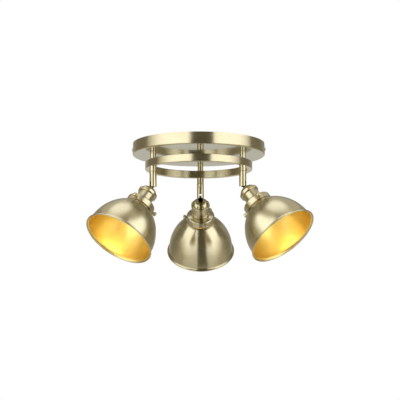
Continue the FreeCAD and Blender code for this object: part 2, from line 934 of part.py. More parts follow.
def makeBulbGlobe(arm):
    body = makeBody("bulb_globe_" + arm["name"])
    start = s.holder_end + s.clamp_fit * 2.0
    radius = s.globe_radius
    inner = radius - s.globe_wall
    inner_neck = s.globe_neck - s.globe_wall
    inner_shoulder = s.globe_shoulder - s.globe_wall
    turn(body, [
        (inner_neck, start),
        (s.globe_neck, start),
        (s.globe_shoulder, s.globe_centre - riseAt(s.globe_shoulder, radius)),
        (radius, s.globe_centre, radius, -1),
        (0, s.globe_centre + radius, radius, -1),
        (0, s.globe_centre + inner),
        (inner, s.globe_centre, inner, 1),
        (inner_shoulder, s.globe_centre - riseAt(inner_shoulder, inner), inner, 1),
    ])
    mount(body, arm)


# Assembly -------------------------------------------------------------------------------------

makeCanopyPan()
makeSideScrews()
makeStrap()
makeGrommet()
makeTerminalBlock()
makeTerminalScrews()
makeEarthScrew()
makeHoop()
makeWashers()
makeNuts()
makeClips()
for arm in arms:
    makePost(arm)
    makeNipple(arm)
    makeSleeve(arm)
    makeForkTube(arm)
    makePin(arm)
    makeTongue(arm)
    makeCap(arm)
    makeNeck(arm)
    makeGallery(arm)
    makeThumbScrews(arm)
    makeShade(arm)
    makeHolder(arm)
    makeShell(arm)
    makeBulbBase(arm)
    makeBulbGlobe(arm)

doc.recompute()
os.makedirs("parts", exist_ok=True)
faults = []
for item in doc.Objects:
    if "Invalid" in item.State or "Error" in item.State:
        faults.append(item.Name)
bodies = [item for item in doc.Objects if item.TypeId == "PartDesign::Body"]
for body in bodies:
    if body.Shape.isNull() or not body.Shape.isValid() or not body.Shape.Solids:
        faults.append(body.Label)
if faults:
    raise RuntimeError("faulty pieces: " + ", ".join(faults))
for body in bodies:
    body.Shape.exportStep(os.path.join("parts", body.Label + ".step"))
    print(body.Label, len(body.Shape.Solids), "solids", round(body.Shape.Volume / 1000.0, 2), "cm3")
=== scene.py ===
import math

import bmesh
import bpy
from mathutils import Matrix, Vector


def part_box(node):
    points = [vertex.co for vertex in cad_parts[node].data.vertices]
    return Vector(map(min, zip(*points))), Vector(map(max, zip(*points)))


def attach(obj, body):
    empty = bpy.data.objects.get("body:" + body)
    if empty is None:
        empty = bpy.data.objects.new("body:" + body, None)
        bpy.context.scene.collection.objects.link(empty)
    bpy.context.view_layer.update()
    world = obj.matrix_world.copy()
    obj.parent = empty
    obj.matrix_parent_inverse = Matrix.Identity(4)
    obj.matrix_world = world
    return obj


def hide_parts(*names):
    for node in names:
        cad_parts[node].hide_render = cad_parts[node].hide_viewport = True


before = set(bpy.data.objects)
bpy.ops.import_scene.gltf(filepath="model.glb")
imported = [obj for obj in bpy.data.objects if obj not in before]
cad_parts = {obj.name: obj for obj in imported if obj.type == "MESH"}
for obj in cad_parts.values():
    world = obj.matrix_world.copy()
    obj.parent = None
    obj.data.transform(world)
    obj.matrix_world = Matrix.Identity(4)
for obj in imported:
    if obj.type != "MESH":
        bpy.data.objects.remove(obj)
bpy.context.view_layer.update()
print("frame loaded:", len(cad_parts), "nodes")

mm = 0.001
past = 9.0  # mm, how far a cutter runs out past the small piece that it cuts

# The arms as posed in the photo, in degrees: where each stands round the canopy, how far it swivels
# from there, how far its head is raised from straight down, and how far round its thumb screws sit.
arms = {
    "rear": {"side": 90.0, "turn": 1.5, "raise": 44.7, "screws": 6.0},
    "left": {"side": 210.0, "turn": 13.5, "raise": 37.1, "screws": 64.0},
    "right": {"side": 330.0, "turn": -2.8, "raise": 40.3, "screws": 18.0},
}
layout = {"postCircle": 96.0, "pinDrop": 86.0}  # mm, radius through the posts, ceiling to knuckle pins

# the view that a fit to the photo's outlines gave: degrees and metres, the lens and sensor in mm
cameraView = {
    "azimuth": 1.942, "elevation": -8.439, "distance": 2.8846, "target": (0, 0, -0.10726),
    "lens": 138.05, "shiftX": 0.00317, "sensor": 36.0, "farthest": 50.0,
}


# direction from the object to a viewer; azimuth 0 is in front, on -Y, and grows to the right
def lookFrom(azimuth, elevation):
    a = math.radians(azimuth)
    e = math.radians(elevation)
    return Vector((math.sin(a) * math.cos(e), -math.cos(a) * math.cos(e), math.sin(e)))


def newObject(name, data):
    item = bpy.data.objects.new(name, data)
    bpy.context.scene.collection.objects.link(item)
    return item


cameraData = bpy.data.cameras.new("camera")
cameraData.sensor_width = cameraView["sensor"]
cameraData.lens = cameraView["lens"]
cameraData.shift_x = cameraView["shiftX"]
cameraData.clip_end = cameraView["farthest"]
camera = newObject("camera", cameraData)
towardsCamera = lookFrom(cameraView["azimuth"], cameraView["elevation"])
camera.location = Vector(cameraView["target"]) + towardsCamera * cameraView["distance"]
camera.rotation_mode = "QUATERNION"
camera.rotation_quaternion = (-towardsCamera).to_track_quat("-Z", "Y")
bpy.context.scene.camera = camera
bpy.context.scene.view_settings.view_transform = "Standard"
print("camera placed")


# an sRGB hex colour as the linear values that a node takes
def linear(text):
    channels = [int(text[i:i + 2], 16) / 255 for i in (1, 3, 5)]
    return [c / 12.92 if c <= 0.04045 else ((c + 0.055) / 1.055) ** 2.4 for c in channels] + [1.0]


# adds a node with its settings, its inputs' values and its links, {input: (node, output)}
def addNode(tree, kind, settings=None, values=None, links=None):
    node = tree.nodes.new(kind)
    for key, value in (settings or {}).items():
        setattr(node, key, value)
    for key, value in (values or {}).items():
        node.inputs[key].default_value = value
    for key, (source, output) in (links or {}).items():
        tree.links.new(source.outputs[output], node.inputs[key])
    return node


def emptyMaterial(name):
    material = bpy.data.materials.new(name)
    material.use_nodes = True
    tree = material.node_tree
    tree.nodes.clear()
    return material, tree, tree.nodes.new("ShaderNodeOutputMaterial")


def shadedMaterial(name):
    material, tree, output = emptyMaterial(name)
    shader = tree.nodes.new("ShaderNodeBsdfPrincipled")
    tree.links.new(shader.outputs["BSDF"], output.inputs["Surface"])
    return material, tree, shader


noiseSpan = {"From Min": 0.3, "From Max": 0.7}  # nearly all of a noise texture's values lie in it
patchNoise = {"Detail": 4.0, "Roughness": 0.6}
ringNoise = {"Detail": 3.0, "Roughness": 0.7}
skinNoise = {"Detail": 2.0}
bumpHeight = {"rings": 0.00005, "skin": 0.0001}  # metres


# a colour that wanders from dark to light in patches about cloudSize mm across
def wanderingColour(tree, look):
    place = addNode(tree, "ShaderNodeTexCoord")
    cloudy = addNode(tree, "ShaderNodeTexNoise", None, {"Scale": 1000 / look["cloudSize"], **patchNoise},
                     {"Vector": (place, "Object")})
    spread = addNode(tree, "ShaderNodeMapRange", None, noiseSpan, {"Value": (cloudy, "Fac")})
    colour = addNode(tree, "ShaderNodeMix", {"data_type": "RGBA"},  # 6, 7 and output 2 are its colours
                     {6: linear(look["dark"]), 7: linear(look["light"])}, {0: (spread, "Result")})
    return place, cloudy, colour


# the roughness goes between the look's two values as a node's output goes over a span, and a noise
# texture raises a bump
def roughAndBump(tree, shader, look, span, value, noise, depth, height):
    smoothest, roughest = look["roughness"]
    rough = addNode(tree, "ShaderNodeMapRange", None,
                    {**span, "To Min": smoothest, "To Max": roughest}, {"Value": value})
    tree.links.new(rough.outputs["Result"], shader.inputs["Roughness"])
    bump = addNode(tree, "ShaderNodeBump", None, {"Strength": depth, "Distance": height},
                   {"Height": (noise, "Fac")})
    tree.links.new(bump.outputs["Normal"], shader.inputs["Normal"])


# A turned or spun metal. The piece's UV runs in metres along the profile, so lines at a steady U
# are the rings that the abrasive left, and the highlight stretches across them. Real rings are
# finer than 0.1 mm, and ringSpacing draws them as coarse as they have to be to show.
def turnedMetal(name, look):
    material, tree, shader = shadedMaterial(name)
    shader.inputs["Metallic"].default_value = 1.0
    shader.inputs["Anisotropic"].default_value = look["stretch"]
    shader.inputs["Coat Weight"].default_value = look["lacquer"]
    shader.inputs["Coat Roughness"].default_value = look["lacquerRoughness"]
    shader.inputs["Coat IOR"].default_value = look.get("lacquerIor", 1.5)
    uv = addNode(tree, "ShaderNodeUVMap", {"uv_map": "UVMap"})
    along = addNode(tree, "ShaderNodeSeparateXYZ", links={"Vector": (uv, "UV")})
    tangent = addNode(tree, "ShaderNodeTangent", {"direction_type": "UV_MAP", "uv_map": "UVMap"})
    tree.links.new(tangent.outputs["Tangent"], shader.inputs["Tangent"])
    fineRings = addNode(tree, "ShaderNodeTexNoise", {"noise_dimensions": "1D"},
                        {"Scale": 1000 / look["ringSpacing"], **ringNoise}, {"W": (along, "X")})
    place, cloudy, colour = wanderingColour(tree, look)
    ringTone = addNode(tree, "ShaderNodeMapRange", None,
                       {**noiseSpan, "To Min": 1 - look["ringTone"], "To Max": 1.0},
                       {"Value": (fineRings, "Fac")})
    toned = addNode(tree, "ShaderNodeVectorMath", {"operation": "SCALE"},
                    links={0: (colour, 2), "Scale": (ringTone, "Result")})
    tree.links.new(toned.outputs["Vector"], shader.inputs["Base Color"])
    mixed = addNode(tree, "ShaderNodeMath", {"operation": "MULTIPLY_ADD"}, {1: 0.5},  # half the patches
                    {0: (cloudy, "Fac"), 2: (fineRings, "Fac")})  # and all of the rings
    roughAndBump(tree, shader, look, {"From Min": 0.5, "From Max": 1.0}, (mixed, "Value"), fineRings,
                 look["ringDepth"], bumpHeight["rings"])
    return material


# A moulded, pressed or blown surface: one colour that wanders a little, with a fine skin texture.
def plainSurface(name, look):
    material, tree, shader = shadedMaterial(name)
    shader.inputs["Metallic"].default_value = look.get("metallic", 0.0)
    place, cloudy, colour = wanderingColour(tree, look)
    tree.links.new(colour.outputs[2], shader.inputs["Base Color"])
    skin = addNode(tree, "ShaderNodeTexNoise", None, {"Scale": 1000 / look["grainSize"], **skinNoise},
                   {"Vector": (place, "Object")})
    roughAndBump(tree, shader, look, noiseSpan, (skin, "Fac"), skin, look["grainDepth"],
                 bumpHeight["skin"])
    if "glow" in look:
        shader.inputs["Emission Color"].default_value = linear(look["glow"])
        shader.inputs["Emission Strength"].default_value = look["glowStrength"]
    return material


# antique-brass plate on steel, belt brushed round the piece, clear lacquered: a greenish old-gold
# satin whose highlights run along the piece
antiqueBrassSatin = turnedMetal("antiqueBrassSatin", {
    "dark": "#C0B185", "light": "#CBBC90", "roughness": (0.2, 0.28), "stretch": 0.82,
    "lacquer": 0.8, "lacquerRoughness": 0.24, "lacquerIor": 1.7, "ringSpacing": 0.35,
    "ringTone": 0.07, "ringDepth": 0.25, "cloudSize": 40.0,
})
# the same plate on small turned parts, rubbed finer: narrower and sharper highlights
antiqueBrassTurned = turnedMetal("antiqueBrassTurned", {
    "dark": "#BFB083", "light": "#CDBE92", "roughness": (0.15, 0.22), "stretch": 0.6,
    "lacquer": 0.6, "lacquerRoughness": 0.1, "ringSpacing": 0.25, "ringTone": 0.06, "ringDepth": 0.18,
    "cloudSize": 15.0,
})
# the pan's flat underside, polished before plating: almost a mirror at a low angle
antiqueBrassPolished = turnedMetal("antiqueBrassPolished", {
    "dark": "#B9B69E", "light": "#C2BFA8", "roughness": (0.07, 0.11), "stretch": 0.0,
    "lacquer": 0.5, "lacquerRoughness": 0.04, "ringSpacing": 0.8, "ringTone": 0.03, "ringDepth": 0.02,
    "cloudSize": 60.0,
})
# gold metallic lacquer sprayed inside the shades: warm, half matt, with the spinning rings under it
goldLacquer = turnedMetal("goldLacquer", {
    "dark": "#E7C968", "light": "#F1D578", "roughness": (0.36, 0.44), "stretch": 0.5,
    "lacquer": 0.8, "lacquerRoughness": 0.22, "ringSpacing": 0.9, "ringTone": 0.05, "ringDepth": 0.2,
    "cloudSize": 30.0,
})
# electroplated zinc on steel: cool bright grey
zincPlate = plainSurface("zincPlate", {
    "dark": "#B8BABA", "light": "#CACCCC", "metallic": 1.0, "roughness": (0.28, 0.4),
    "cloudSize": 8.0, "grainSize": 0.6, "grainDepth": 0.15,
})
# bare machined brass of the block's and strap's screws and of the lamp sockets: yellow, fairly bright
bareBrass = plainSurface("bareBrass", {
    "dark": "#C9A65A", "light": "#DDBB6E", "metallic": 1.0, "roughness": (0.22, 0.34),
    "cloudSize": 6.0, "grainSize": 0.5, "grainDepth": 0.12,
})
# rolled aluminium of the bulb's screw base: clean pale grey
rolledAluminium = plainSurface("rolledAluminium", {
    "dark": "#C4C6C8", "light": "#D6D8DA", "metallic": 1.0, "roughness": (0.22, 0.32),
    "cloudSize": 5.0, "grainSize": 0.5, "grainDepth": 0.1,
})
# moulded polyamide of the terminal block: off-white, soft sheen
whitePolyamide = plainSurface("whitePolyamide", {
    "dark": "#E4E1D6", "light": "#EEEBE1", "roughness": (0.42, 0.55),
    "cloudSize": 10.0, "grainSize": 0.4, "grainDepth": 0.25,
})
# moulded black thermoset of the lampholders: fine even texture
blackThermoset = plainSurface("blackThermoset", {
    "dark": "#161617", "light": "#1F1F21", "roughness": (0.38, 0.52),
    "cloudSize": 10.0, "grainSize": 0.5, "grainDepth": 0.3,
})
# moulded soft rubber of the cable grommet: dull black
blackRubber = plainSurface("blackRubber", {
    "dark": "#121212", "light": "#1B1B1A", "roughness": (0.6, 0.75),
    "cloudSize": 5.0, "grainSize": 0.35, "grainDepth": 0.35,
})
# blown opal glass of the lit bulbs: an even warm white glow
opalGlassLit = plainSurface("opalGlassLit", {
    "dark": "#F6EFE0", "light": "#FBF6EA", "roughness": (0.25, 0.32),
    "cloudSize": 20.0, "grainSize": 2.0, "grainDepth": 0.03, "glow": "#FFEBC4", "glowStrength": 11.0,
})
print("materials made")


# points round a centre, one for each angle in degrees; their 0 says that the corner isn't rounded
def pointsRound(across, along, radius, angles):
    turns = [math.radians(angle) for angle in angles]
    return [(across + radius * math.cos(turn), along + radius * math.sin(turn), 0) for turn in turns]


# points on an arc from start to end, bulging to the left (1) or right (-1) of the way it goes
def arcBetween(start, end, radius, bulge, steps):
    first = Vector(start)
    last = Vector(end)
    chord = last - first
    across = Vector((-chord.y, chord.x)).normalized()
    rise = math.sqrt(max(radius ** 2 - (chord.length / 2) ** 2, 0.0))
    centre = (first + last) / 2 - across * rise * bulge
    a = first - centre
    b = last - centre
    sweep = a.angle_signed(b)
    points = []
    for k in range(steps + 1):
        turn = -sweep * k / steps
        points.append((centre.x + a.x * math.cos(turn) - a.y * math.sin(turn),
                       centre.y + a.x * math.sin(turn) + a.y * math.cos(turn), 0))
    return points


# mm and degrees: an edge's own rounding, its steps, the angle past which a corner counts as straight
# and the most of a side that a rounding takes; then the length of a run that gets support rings, and
# how far these stand from its ends
softening = {"edge": 0.15, "steps": 3, "straight": 172.0, "share": 0.45, "longRun": 2.0, "support": 0.25}
onAxis = 1e-6


# A closed profile in mm with its corners rounded off. A corner is (across, along) or, with its own
# rounding, (across, along, radius). Each point keeps the number of the corner it came from.
def softened(corners):
    points = []
    steps = softening["steps"]
    share = softening["share"]
    for i, corner in enumerate(corners):
        here = Vector(corner[:2])
        back = Vector(corners[i - 1][:2]) - here
        ahead = Vector(corners[(i + 1) % len(corners)][:2]) - here
        size = corner[2] if len(corner) > 2 else softening["edge"]
        angle = back.angle(ahead)
        if size == 0 or here.x < onAxis or angle > math.radians(softening["straight"]):
            points.append((here, i))
            continue
        cut = min(size / math.tan(angle / 2), back.length * share, ahead.length * share)
        radius = cut * math.tan(angle / 2)
        start = here + back.normalized() * cut
        end = here + ahead.normalized() * cut
        inwards = (back.normalized() + ahead.normalized()).normalized()
        centre = here + inwards * (radius / math.sin(angle / 2))
        for k in range(steps + 1):
            way = (start - centre).lerp(end - centre, k / steps).normalized()
            points.append((centre + way * radius, i))
    supported = []  # a ring close to each end keeps a long flat run flat under smooth shading
    for k, (point, i) in enumerate(points):
        supported.append((point, i))
        following = points[(k + 1) % len(points)][0]
        run = following - point
        if run.length > softening["longRun"]:
            near = softening["support"] / run.length
            supported.append((point.lerp(following, near), i))
            supported.append((point.lerp(following, 1 - near), i))
    return supported


def meshFrom(shape, name):
    mesh = bpy.data.meshes.new(name)
    shape.to_mesh(mesh)
    shape.free()
    return mesh


# Turns a profile round the local Z axis into a closed mesh with UVs in metres: U along the profile,
# V round the piece. Faces from corner second[0] up to corner second[1] get the second material, and
# ribs knurls the stretch that it names.
def turnedMesh(name, corners, place=Matrix(), segments=96, second=None, ribs=None):
    points = softened(corners)
    shape = bmesh.new()
    uvLayer = shape.loops.layers.uv.new("UVMap")
    circles = []
    for point, i in points:
        circle = []
        for k in range(1 if point.x < onAxis else segments):
            turn = 2 * math.pi * k / segments
            across = point.x
            if ribs and ribs["from"] < point.y < ribs["to"] and point.x > ribs["radius"]:
                across += ribs["depth"] * (math.cos(turn * ribs["count"]) - 1) / 2
            spot = Vector((across * math.cos(turn), across * math.sin(turn), point.y))
            circle.append(shape.verts.new(spot * mm))
        circles.append(circle)
    travelled = 0.0
    for n in range(len(points)):
        following = (n + 1) % len(points)
        near = circles[n]
        far = circles[following]
        length = (points[following][0] - points[n][0]).length * mm
        if len(near) > 1 or len(far) > 1:
            wide = max(points[n][0].x, points[following][0].x) * mm
            for k in range(segments):
                after = (k + 1) % segments
                loop = [(near[k % len(near)], 0, k), (near[after % len(near)], 0, k + 1),
                        (far[after % len(far)], 1, k + 1), (far[k % len(far)], 1, k)]
                if len(near) == 1:
                    loop.pop(1)
                elif len(far) == 1:
                    loop.pop(3)
                face = shape.faces.new([entry[0] for entry in loop])
                face.smooth = True
                if second and second[0] <= points[n][1] < second[1]:
                    face.material_index = 1
                for corner, (vert, side, step) in zip(face.loops, loop):
                    corner[uvLayer].uv = (travelled + length * side, 2 * math.pi * wide * step / segments)
        travelled += length
    if shape.calc_volume(signed=True) < 0:
        bmesh.ops.reverse_faces(shape, faces=shape.faces)
    shape.transform(place)
    return meshFrom(shape, name)


def addPiece(mesh, body, nodes, materials):
    piece = newObject(mesh.name, mesh)
    while len(mesh.materials) < len(materials):
        mesh.materials.append(None)
    for k, material in enumerate(materials):
        mesh.materials[k] = material
    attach(piece, body)
    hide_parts(*nodes)
    return piece


def dropScratch(scratch):
    mesh = scratch.data
    bpy.data.objects.remove(scratch)
    bpy.data.meshes.remove(mesh)


# the evaluated mesh of a scratch object with modifiers, which then goes
def bakedMesh(name, scratch):
    bpy.context.view_layer.update()
    evaluated = scratch.evaluated_get(bpy.context.evaluated_depsgraph_get())
    mesh = bpy.data.meshes.new_from_object(evaluated)
    mesh.name = name
    dropScratch(scratch)
    return mesh


def cutMesh(name, mesh, cutters):
    scratch = newObject("scratch", mesh)
    tools = [newObject("scratch", cutter) for cutter in cutters]
    for tool in tools:
        modifier = scratch.modifiers.new("cut", "BOOLEAN")
        modifier.operation = "DIFFERENCE"
        modifier.solver = "EXACT"
        modifier.object = tool
    result = bakedMesh(name, scratch)
    for tool in tools:
        dropScratch(tool)
    return result


def boxMesh(low, high):
    shape = bmesh.new()
    bmesh.ops.create_cube(shape, size=1.0)
    for vert in shape.verts:
        vert.co = Vector([(low[k] if vert.co[k] < 0 else high[k]) * mm for k in range(3)])
    return meshFrom(shape, "cutter")


# what is rounded off the edges of pieces that keep their CAD shape, in mm, and in degrees how flat
# faces are that become one again, which edges shade smooth and which edges are rounded
easing = {"strap": 0.25, "block": 0.5, "nuts": 0.35, "clips": 0.1, "tongue": 0.2,
          "flat": 1.0, "smooth": 30.0, "edge": 35.0, "weld": 1e-6}


# a copy of a CAD node's mesh, merged, with its flat faces whole again and its edges rounded
def eased(name, node, width):
    shape = bmesh.new()
    shape.from_mesh(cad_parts[node].data)
    bmesh.ops.remove_doubles(shape, verts=shape.verts, dist=easing["weld"])
    bmesh.ops.dissolve_limit(shape, angle_limit=math.radians(easing["flat"]), verts=shape.verts,
                             edges=shape.edges)
    for edge in shape.edges:
        edge.smooth = edge.calc_face_angle(0) < math.radians(easing["smooth"])
    for face in shape.faces:
        face.smooth = True
    scratch = newObject("scratch", meshFrom(shape, name))
    bevel = scratch.modifiers.new("ease", "BEVEL")
    bevel.width = width * mm
    bevel.segments = 2
    bevel.limit_method = "ANGLE"
    bevel.angle_limit = math.radians(easing["edge"])
    bevel.harden_normals = True
    return bakedMesh(name, scratch)


# a tree that takes a mesh, a material and the inputs named in kinds, with its group input
def newTree(name, kinds):
    tree = bpy.data.node_groups.new(name, "GeometryNodeTree")
    for label, kind in {"Geometry": "Geometry", **kinds, "Material": "Material"}.items():
        tree.interface.new_socket(label, in_out="INPUT", socket_type="NodeSocket" + kind)
    tree.interface.new_socket("Geometry", in_out="OUTPUT", socket_type="NodeSocketGeometry")
    return tree, tree.nodes.new("NodeGroupInput")


def finishTree(tree, given, last, output):
    real = addNode(tree, "GeometryNodeRealizeInstances", links={"Geometry": (last, output)})
    painted = addNode(tree, "GeometryNodeSetMaterial", None, None,
                      {"Geometry": (real, "Geometry"), "Material": (given, "Material")})
    addNode(tree, "NodeGroupOutput", links={"Geometry": (painted, "Geometry")})
    return tree


# copies of the incoming mesh, evenly spaced round Z
def ringTree(name):
    tree, given = newTree(name, {"Count": "Int"})
    points = addNode(tree, "GeometryNodeMeshLine", {"mode": "OFFSET"}, {"Offset": (0, 0, 0)},
                     {"Count": (given, "Count")})
    index = addNode(tree, "GeometryNodeInputIndex")
    step = addNode(tree, "ShaderNodeMath", {"operation": "DIVIDE"}, {0: 2 * math.pi},
                   {1: (given, "Count")})
    turn = addNode(tree, "ShaderNodeMath", {"operation": "MULTIPLY"}, None,
                   {0: (index, "Index"), 1: (step, 0)})
    spin = addNode(tree, "ShaderNodeCombineXYZ", links={"Z": (turn, 0)})
    copies = addNode(tree, "GeometryNodeInstanceOnPoints", None, None,
                     {"Points": (points, "Mesh"), "Instance": (given, "Geometry"), "Rotation": (spin, 0)})
    return finishTree(tree, given, copies, "Instances")


# a round-crested screw thread wound up the Z axis, joined to the incoming core
def threadTree(name):
    labels = ("Radius", "Pitch", "Turns", "Crest", "Start")
    tree, given = newTree(name, {label: "Float" for label in labels})
    height = addNode(tree, "ShaderNodeMath", {"operation": "MULTIPLY"}, None,
                     {0: (given, "Pitch"), 1: (given, "Turns")})
    spiral = addNode(tree, "GeometryNodeCurveSpiral", None, {"Resolution": 40},
                     {"Rotations": (given, "Turns"), "Start Radius": (given, "Radius"),
                      "End Radius": (given, "Radius"), "Height": (height, 0)})
    lift = addNode(tree, "ShaderNodeCombineXYZ", links={"Z": (given, "Start")})
    lifted = addNode(tree, "GeometryNodeTransform", None, None,
                     {"Geometry": (spiral, "Curve"), "Translation": (lift, 0)})
    crest = addNode(tree, "GeometryNodeCurvePrimitiveCircle", None, {"Resolution": 8},
                    {"Radius": (given, "Crest")})
    wire = addNode(tree, "GeometryNodeCurveToMesh", None, {"Fill Caps": True},
                   {"Curve": (lifted, "Geometry"), "Profile Curve": (crest, "Curve")})
    joined = addNode(tree, "GeometryNodeJoinGeometry", links={"Geometry": (wire, "Mesh")})
    tree.links.new(given.outputs["Geometry"], joined.inputs["Geometry"])
    smooth = addNode(tree, "GeometryNodeSetShadeSmooth", links={"Geometry": (joined, "Geometry")})
    return finishTree(tree, given, smooth, "Geometry")


def runTree(name, mesh, tree, values):
    scratch = newObject("scratch", mesh)
    modifier = scratch.modifiers.new("nodes", "NODES")
    modifier.node_group = tree
    for item in tree.interface.items_tree:
        if item.in_out == "INPUT" and item.name in values:
            modifier[item.identifier] = values[item.name]
    return bakedMesh(name, scratch)


aroundAxis = ringTree("copiesAroundAxis")
woundThread = threadTree("woundThread")


def ringOf(name, mesh, count, material):
    return runTree(name, mesh, aroundAxis, {"Count": count, "Material": material})


hanging = Matrix(((0, 1, 0, 0), (1, 0, 0, 0), (0, 0, -1, 0), (0, 0, 0, 1)))  # Z down, X round, Y out


# where a piece of an arm goes: at a drop below the ceiling, swivelled, and raised if it is the head's
def armMatrix(arm, drop, raised=0.0):
    side = math.radians(arm["side"])
    out = layout["postCircle"]
    place = Matrix.Translation(Vector((out * math.cos(side), out * math.sin(side), -drop)) * mm)
    spin = Matrix.Rotation(math.radians(arm["side"] + arm["turn"]), 4, "Z")
    lift = Matrix.Rotation(math.radians(-raised), 4, "Y")
    return place @ spin @ lift @ hanging


canopy = {"radius": 125.0, "draft": 0.8, "depth": 22.5, "wall": 1.2, "corner": 2.5, "rim": 0.25,
          "segments": 256}


def makeCanopy():
    top = canopy["radius"] - canopy["draft"]
    floor = canopy["depth"] - canopy["wall"]
    corners = [
        (0, -canopy["depth"], 0), (canopy["radius"], -canopy["depth"], canopy["corner"]),
        (top, 0, canopy["rim"]), (top - canopy["wall"], 0, canopy["rim"]),
        (canopy["radius"] - canopy["wall"], -floor, canopy["corner"] - canopy["wall"]), (0, -floor, 0),
    ]
    mesh = turnedMesh("canopyPan", corners, segments=canopy["segments"], second=(0, 1))
    addPiece(mesh, "base", ["canopy_pan"], [antiqueBrassSatin, antiqueBrassPolished])


sideScrew = {"count": 2, "drop": 11.0, "seat": 124.95, "radius": 4.0, "height": 2.4, "edge": 0.4,
             "grip": 7.0, "shank": 2.0, "recess": 1.1, "recessDepth": 1.0, "recessLength": 3.6}


def makeSideScrews():
    radius = sideScrew["radius"]
    height = sideScrew["height"]
    curve = (radius ** 2 + height ** 2) / (2 * height)
    dome = arcBetween((radius, sideScrew["edge"]), (0, height), curve, 1, 8)
    corners = [(0, -sideScrew["grip"], 0), (sideScrew["shank"], -sideScrew["grip"]),
               (sideScrew["shank"], 0, 0), (radius, 0, 0.12)] + dome
    blank = turnedMesh("screwBlank", corners, segments=48)
    half = sideScrew["recess"] / 2
    reach = sideScrew["recessLength"] / 2
    low = height - sideScrew["recessDepth"]
    cross = [boxMesh((-reach, -half, low), (reach, half, past)),
             boxMesh((-half, -reach, low), (half, reach, past))]
    mesh = cutMesh("screwCut", blank, cross)
    seat = Matrix.Translation(Vector((sideScrew["seat"], 0, -sideScrew["drop"])) * mm)
    mesh.transform(seat @ Matrix.Rotation(math.pi / 2, 4, "Y"))
    ring = ringOf("canopySideScrews", mesh, sideScrew["count"], antiqueBrassTurned)
    addPiece(ring, "base", ["canopy_side_screws"], [antiqueBrassTurned])


grommet = {"bore": 4.5, "neck": 7.9, "start": 0.1, "seat": 2.1, "flange": 9.6, "end": 3.7, "ease": 0.7}


def makeCanopyInside():
    strap = eased("strapPressed", "ceiling_strap", easing["strap"])
    addPiece(strap, "base", ["ceiling_strap"], [zincPlate])
    block = eased("blockMoulded", "terminal_block", easing["block"])
    addPiece(block, "base", ["terminal_block"], [whitePolyamide])
    corners = [
        (grommet["bore"], grommet["start"]), (grommet["neck"], grommet["start"]),
        (grommet["neck"], grommet["seat"]), (grommet["flange"], grommet["seat"]),
        (grommet["flange"], grommet["end"], grommet["ease"]),
        (grommet["bore"], grommet["end"], grommet["ease"]),
    ]
    over = Matrix.Rotation(math.pi, 4, "X")
    mesh = turnedMesh("grommetMoulded", corners, over, segments=64)
    addPiece(mesh, "base", ["cable_grommet"], [blackRubber])


terminal = {"pitch": 10.0, "row": 4.0, "radius": 1.9, "length": 4.3, "drop": 15.0, "place": 76.0,
            "slot": 0.7, "slotDepth": 0.8, "turnByPole": 37.0, "turnByRow": 20.0}


def makeTerminalScrews():
    radius = terminal["radius"]
    length = terminal["length"]
    half = terminal["slot"] / 2
    corners = [(0, 0, 0), (radius, 0, 0.2), (radius, length, 0.1), (0, length, 0)]
    blank = turnedMesh("terminalBlank", corners, segments=24)
    slit = boxMesh((-past, -half, -past), (past, half, terminal["slotDepth"]))
    one = cutMesh("terminalCut", blank, [slit])
    shape = bmesh.new()
    for pole in (-1, 0, 1):
        for row in (-1, 1):
            screw = one.copy()
            spot = Vector((terminal["place"] + pole * terminal["pitch"], row * terminal["row"],
                           -terminal["drop"]))
            turn = math.radians(pole * terminal["turnByPole"] + row * terminal["turnByRow"])
            screw.transform(Matrix.Translation(spot * mm) @ Matrix.Rotation(turn, 4, "Z"))
            shape.from_mesh(screw)
            bpy.data.meshes.remove(screw)
    mesh = meshFrom(shape, "terminalScrews")
    addPiece(mesh, "base", ["terminal_screws"], [bareBrass])


earthScrew = {"place": -76.0, "start": 0.1, "shank": 2.0, "seat": 2.0, "radius": 3.8, "end": 4.6,
              "slot": 1.0, "slotDepth": 1.0}


def makeEarthScrew():
    radius = earthScrew["radius"]
    seat = -earthScrew["seat"]
    end = -earthScrew["end"]
    half = earthScrew["slot"] / 2
    corners = [(0, -earthScrew["start"], 0), (earthScrew["shank"], -earthScrew["start"]),
               (earthScrew["shank"], seat, 0), (radius, seat, 0.2), (radius, end, 0.6), (0, end, 0)]
    blank = turnedMesh("earthBlank", corners, segments=40)
    slit = boxMesh((-past, -half, -past), (past, half, end + earthScrew["slotDepth"]))
    mesh = cutMesh("earthScrew", blank, [slit])
    mesh.transform(Matrix.Translation(Vector((earthScrew["place"], 0, 0)) * mm))
    addPiece(mesh, "base", ["earth_screw"], [bareBrass])


makeCanopy()
makeSideScrews()
makeCanopyInside()
makeTerminalScrews()
makeEarthScrew()
print("canopy dressed")

hoop = {"inner": 91.0, "outer": 101.0, "top": 36.2, "height": 14.0, "edge": 0.8, "segments": 256}


def makeHoop():
    top = -hoop["top"]
    end = top - hoop["height"]
    corners = [(hoop["inner"], top, hoop["edge"]), (hoop["outer"], top, hoop["edge"]),
               (hoop["outer"], end, hoop["edge"]), (hoop["inner"], end, hoop["edge"])]
    mesh = turnedMesh("hoopRing", corners, segments=hoop["segments"])
    addPiece(mesh, "base", ["hoop_ring"], [antiqueBrassSatin])


# The upright pieces are alike on the three arms, so one is turned over the rear arm, as long as its
# CAD node, and copied round. The hole is the one through post, sleeve and washer for the nipple.
post = {"radius": 5.5, "ease": 0.35}
sleeve = {"radius": 6.5, "ease": 0.4}
washer = {"radius": 8.0, "ease": 0.25}
nipple = {"radius": 4.0, "bore": 2.6, "hole": 4.1, "ease": 0.3, "pitch": 1.0, "crest": 0.36,
          "coreInset": 0.35, "threadInset": 0.4, "plainEnd": 1.0}


